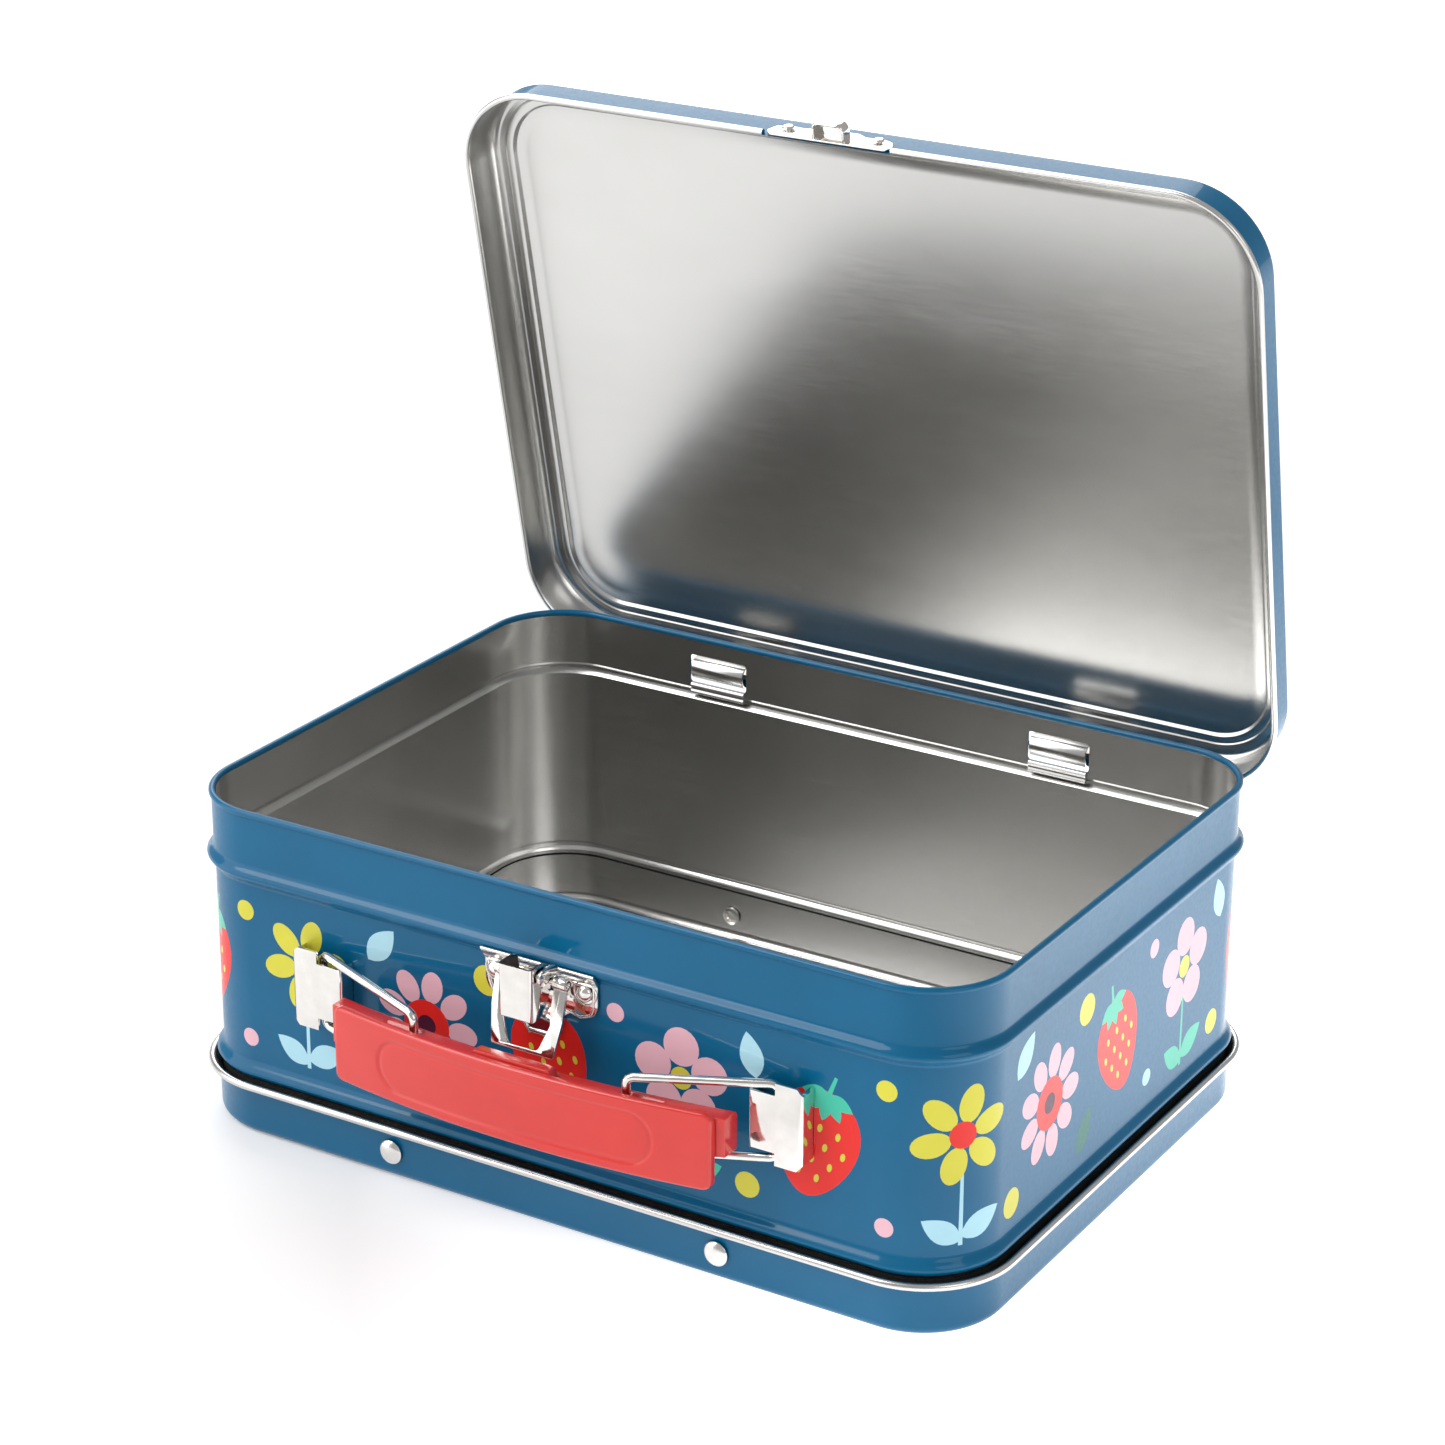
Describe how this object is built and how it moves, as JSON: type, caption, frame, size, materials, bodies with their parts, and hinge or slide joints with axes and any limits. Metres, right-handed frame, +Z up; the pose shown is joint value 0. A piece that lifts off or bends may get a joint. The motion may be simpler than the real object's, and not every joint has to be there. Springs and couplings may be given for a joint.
{
  "type": "lunch box",
  "caption": "Small tinplate lunch box with a hinged lid, a toggle latch on the front and a moulded carrying grip on wire links.",
  "frame": {"origin": "centre of the base pan's underside, on the surface that the box stands on", "axes": "+Z up, -Y towards the latch and grip, +X to the right as seen from the front"},
  "size_m": [0.2056, 0.1734, 0.2209],
  "materials": {
    "painted_tin": "satin lacquer over tinplate, bare tinplate inside",
    "bare_tin": "bright rolled tinplate",
    "nickel_plate": "bright nickel plate",
    "rivet_steel": "bright",
    "red_plastic": "semi-gloss moulded"
  },
  "bodies": {
    "case": {"body_band": "painted_tin", "base_pan": "painted_tin", "base_rivet_front_left": "rivet_steel", "base_rivet_front_right": "rivet_steel", "base_rivet_rear_left": "rivet_steel", "base_rivet_rear_right": "rivet_steel", "latch_plate": "nickel_plate", "latch_pin": "nickel_plate", "latch_rivet_left": "rivet_steel", "latch_rivet_right": "rivet_steel", "handle_bracket_left": "nickel_plate", "handle_bracket_right": "nickel_plate"},
    "lid": {"lid_pan": "painted_tin", "catch_plate": "nickel_plate", "catch_rivet_left": "rivet_steel", "catch_rivet_right": "rivet_steel", "hinge_tongue_left": "bare_tin", "hinge_tongue_right": "bare_tin"},
    "lever": {"latch_lever": "nickel_plate"},
    "loop_hanger": {"loop_pin": "nickel_plate"},
    "loop": {"latch_loop": "nickel_plate"},
    "grip": {"handle_grip": "red_plastic", "handle_grip_back": "red_plastic"},
    "link_left": {"handle_link_left": "nickel_plate"},
    "link_right": {"handle_link_right": "nickel_plate"}
  },
  "joints": [
    {"name": "lid_hinge", "type": "hinge", "parent": "case", "child": "lid", "pos_m": [0, 0.074, 0.071], "axis": [-1, 0, 0], "range_deg": [-78, 0]},
    {"name": "latch_lever_hinge", "type": "hinge", "parent": "case", "child": "lever", "pos_m": [-0.0019, -0.0795, 0.0636], "axis": [-1, 0, 0], "range_deg": [0, 150]},
    {"name": "loop_hanger_turn", "type": "hinge", "parent": "lever", "child": "loop_hanger", "pos_m": [-0.0019, -0.076, 0.0615], "axis": [-1, 0, 0], "range_deg": [-180, 0]},
    {"name": "latch_loop_hinge", "type": "hinge", "parent": "loop_hanger", "child": "loop", "pos_m": [-0.0019, -0.076, 0.0615], "axis": [-1, 0, 0], "range_deg": [0, 165]},
    {"name": "handle_slide", "type": "slide", "parent": "case", "child": "grip", "axis": [0, -1, 0], "range_m": [-0.0015, 0.012]},
    {"name": "handle_link_left_hinge", "type": "hinge", "parent": "case", "child": "link_left", "pos_m": [-0.058, -0.0749, 0.043], "axis": [0, 0, -1], "range_deg": [-3.1, 24.6]},
    {"name": "handle_link_right_hinge", "type": "hinge", "parent": "case", "child": "link_right", "pos_m": [0.058, -0.0749, 0.043], "axis": [0, 0, 1], "range_deg": [-3.1, 24.6]}
  ],
  "couplings": [
    {"joint": "loop_hanger_turn", "follows": "latch_lever_hinge", "ratio": -1.2},
    {"joint": "handle_link_left_hinge", "follows": "handle_slide", "rad_per_m": 35.6},
    {"joint": "handle_link_right_hinge", "follows": "handle_slide", "rad_per_m": 35.6}
  ]
}
